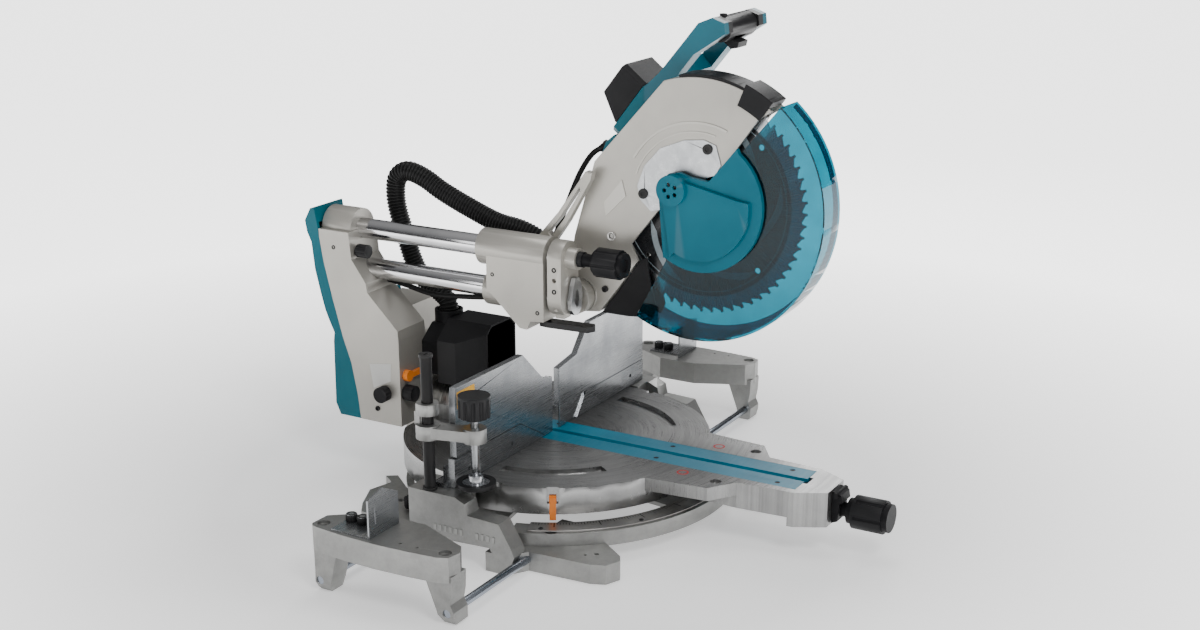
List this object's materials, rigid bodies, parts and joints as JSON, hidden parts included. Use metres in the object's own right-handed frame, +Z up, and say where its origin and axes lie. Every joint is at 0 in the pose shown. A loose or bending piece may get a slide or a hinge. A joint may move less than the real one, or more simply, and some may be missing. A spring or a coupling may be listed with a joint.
{
  "type": "sliding miter saw",
  "caption": "A bench-top sliding compound miter saw with a clear blade guard, twin front slide rails, a turning table, tall split fences, a work vise and pull-out extension bases.",
  "frame": {"origin": "on the bench under the turntable axis, at the centre of the four bench bolt holes", "axes": "+X to the operator's right, +Y to the rear, +Z up; the turntable turns about Z"},
  "size_m": [0.94, 0.897, 0.712],
  "materials": {
    "cast_alloy": "satin",
    "table_alloy": "machined",
    "silver_paint": "satin",
    "teal_plastic": "satin",
    "kerf_plastic": "satin",
    "clear_plastic": "clear",
    "black_plastic": "textured",
    "black_rubber": "matte",
    "black_steel": "satin",
    "polished_steel": "polished",
    "plain_steel": "brushed",
    "orange_plastic": "satin"
  },
  "bodies": {
    "base": {"base_casting": "cast_alloy", "miter_scale": "table_alloy", "lower_fence": "cast_alloy", "upper_fence_left": "cast_alloy", "vise_post": "black_steel"},
    "fence_right": {"upper_fence_right": "cast_alloy"},
    "clamp_left": {"fence_clamp_left": "black_plastic"},
    "clamp_right": {"fence_clamp_right": "black_plastic"},
    "extension_left": {"sub_base_left": "cast_alloy", "extension_rods_left": "polished_steel", "sub_fence_left": "cast_alloy"},
    "extension_right": {"sub_base_right": "cast_alloy", "extension_rods_right": "polished_steel", "sub_fence_right": "cast_alloy"},
    "knob_left": {"rod_knob_left": "black_plastic"},
    "knob_right": {"rod_knob_right": "black_plastic"},
    "vise_slider": {"vise_arm": "cast_alloy"},
    "vise_foot": {"vise_pad": "black_rubber"},
    "vise_turn": {"vise_screw": "black_plastic"},
    "table": {"turntable": "table_alloy", "kerf_boards": "kerf_plastic", "kerf_screws": "black_steel", "miter_pointer": "orange_plastic"},
    "table_grip": {"miter_grip": "black_plastic"},
    "table_lever": {"miter_lock_lever": "black_plastic"},
    "arm": {"bevel_arm": "silver_paint", "arm_rear_cover": "teal_plastic", "dust_hood": "black_plastic", "slide_rails": "polished_steel", "rail_end_plate": "silver_paint", "dust_hose": "black_rubber", "supply_cable": "black_rubber"},
    "arm_grip": {"pole_grip": "black_plastic"},
    "arm_latch": {"latch_lever": "plain_steel"},
    "slide_knob": {"slide_lock_knob": "black_plastic"},
    "stop_lever": {"bevel_stop_lever": "orange_plastic"},
    "knob_rear": {"bevel_knob_rear": "black_plastic"},
    "knob_front": {"bevel_knob_front": "black_plastic"},
    "slider": {"carriage": "silver_paint", "carry_handle": "silver_paint", "hinge_pin": "polished_steel"},
    "depth_stop": {"depth_stop_arm": "black_steel"},
    "head": {"blade_case": "silver_paint", "case_trim": "black_plastic", "guard_plate": "plain_steel", "case_bolts": "black_steel", "dust_nozzle": "black_plastic", "gear_case": "teal_plastic", "motor_housing": "teal_plastic", "motor_cap": "black_plastic", "handle": "teal_plastic", "motor_cable": "black_rubber"},
    "switch": {"trigger": "black_plastic"},
    "lock_off": {"lock_off_button": "black_plastic"},
    "guard": {"lower_guard": "clear_plastic", "guard_cover": "teal_plastic"},
    "arbor": {"blade": "plain_steel", "spindle": "plain_steel", "arbor_flanges": "plain_steel"},
    "rotor": {"armature": "plain_steel"}
  },
  "joints": [
    {"name": "miter", "type": "hinge", "parent": "base", "child": "table", "pos_m": [0, 0, 0.07], "axis": [0, 0, -1], "range_deg": [-50, 60]},
    {"name": "fence_right_slide", "type": "slide", "parent": "base", "child": "fence_right", "axis": [1, 0, 0], "range_m": [0, 0.03]},
    {"name": "clamp_left_turn", "type": "hinge", "parent": "base", "child": "clamp_left", "pos_m": [-0.195, 0.03, 0.149], "axis": [0, 1, 0], "range_deg": [0, 90]},
    {"name": "clamp_right_turn", "type": "hinge", "parent": "fence_right", "child": "clamp_right", "pos_m": [0.195, 0.03, 0.149], "axis": [0, 1, 0], "range_deg": [0, 90]},
    {"name": "extension_left_slide", "type": "slide", "parent": "base", "child": "extension_left", "axis": [1, 0, 0], "range_m": [0, 0.09]},
    {"name": "extension_right_slide", "type": "slide", "parent": "base", "child": "extension_right", "axis": [-1, 0, 0], "range_m": [0, 0.09]},
    {"name": "knob_left_turn", "type": "hinge", "parent": "base", "child": "knob_left", "pos_m": [-0.243, 0.09, 0.05], "axis": [0, 0, 1], "range_deg": [0, 180]},
    {"name": "knob_right_turn", "type": "hinge", "parent": "base", "child": "knob_right", "pos_m": [0.243, 0.09, 0.05], "axis": [0, 0, 1], "range_deg": [0, 180]},
    {"name": "vise_height", "type": "slide", "parent": "base", "child": "vise_slider", "axis": [0, 0, -1], "range_m": [-0.06, 0]},
    {"name": "vise_clamp", "type": "slide", "parent": "vise_slider", "child": "vise_foot", "axis": [0, 0, -1], "range_m": [-0.044, 0.011]},
    {"name": "vise_knob_turn", "type": "hinge", "parent": "vise_foot", "child": "vise_turn", "pos_m": [-0.265, -0.032, 0.22], "axis": [0, 0, 1], "continuous": true},
    {"name": "table_grip_turn", "type": "hinge", "parent": "table", "child": "table_grip", "pos_m": [0, -0.48, 0.066], "axis": [0, 1, 0], "range_deg": [0, 90]},
    {"name": "table_lever_press", "type": "hinge", "parent": "table", "child": "table_lever", "pos_m": [0, -0.453, 0.09], "axis": [1, 0, 0], "range_deg": [-8, 0]},
    {"name": "bevel", "type": "hinge", "parent": "table", "child": "arm", "pos_m": [0, 0.215, 0.097], "axis": [0, -1, 0], "range_deg": [-30, 12]},
    {"name": "arm_grip_turn", "type": "hinge", "parent": "arm", "child": "arm_grip", "pos_m": [-0.068, -0.12, 0.385], "axis": [0, 1, 0], "range_deg": [0, 90]},
    {"name": "arm_latch_turn", "type": "hinge", "parent": "arm", "child": "arm_latch", "pos_m": [-0.06, -0.07, 0.347], "axis": [0, 1, 0], "range_deg": [0, 20]},
    {"name": "slide_knob_turn", "type": "hinge", "parent": "arm", "child": "slide_knob", "pos_m": [-0.093, 0.27, 0.357], "axis": [0, 1, 0], "range_deg": [0, 180]},
    {"name": "stop_lever_turn", "type": "hinge", "parent": "arm", "child": "stop_lever", "pos_m": [-0.092, 0.2, 0.176], "axis": [0, 1, 0], "range_deg": [-90, 0]},
    {"name": "knob_rear_turn", "type": "hinge", "parent": "arm", "child": "knob_rear", "pos_m": [-0.11, 0.235, 0.147], "axis": [1, 0, 0], "continuous": true},
    {"name": "knob_front_turn", "type": "hinge", "parent": "arm", "child": "knob_front", "pos_m": [-0.092, 0.2, 0.149], "axis": [0, 1, 0], "continuous": true},
    {"name": "slide", "type": "slide", "parent": "arm", "child": "slider", "axis": [0, -1, 0], "range_m": [-0.19, 0], "deforming": ["dust_hose", "supply_cable"]},
    {"name": "depth_stop_swing", "type": "hinge", "parent": "slider", "child": "depth_stop", "pos_m": [-0.062, -0.026, 0.29], "axis": [0, 0, 1], "range_deg": [-40, 0]},
    {"name": "chop", "type": "hinge", "parent": "slider", "child": "head", "pos_m": [0, -0.055, 0.32], "axis": [1, 0, 0], "range_deg": [0, 59.5], "deforming": ["motor_cable"]},
    {"name": "switch_pull", "type": "slide", "parent": "head", "child": "switch", "axis": [0, 0, 1], "range_m": [0, 0.004], "stiffness_N_per_m": 300, "springref_m": -0.004},
    {"name": "lock_off_press", "type": "slide", "parent": "head", "child": "lock_off", "axis": [0, 0, -1], "range_m": [0, 0.0025], "stiffness_N_per_m": 300, "springref_m": -0.004},
    {"name": "guard_swing", "type": "hinge", "parent": "head", "child": "guard", "pos_m": [0, -0.235, 0.468], "axis": [-1, 0, 0], "range_deg": [0, 131]},
    {"name": "blade_spin", "type": "hinge", "parent": "head", "child": "arbor", "pos_m": [0, -0.235, 0.468], "axis": [1, 0, 0], "continuous": true},
    {"name": "rotor_spin", "type": "hinge", "parent": "head", "child": "rotor", "pos_m": [0.076, -0.1327, 0.54821], "axis": [0, 0.7869, 0.617], "continuous": true}
  ],
  "couplings": [
    {"joint": "guard_swing", "follows": "chop", "ratio": 2.2},
    {"joint": "rotor_spin", "follows": "blade_spin", "ratio": -4}
  ]
}
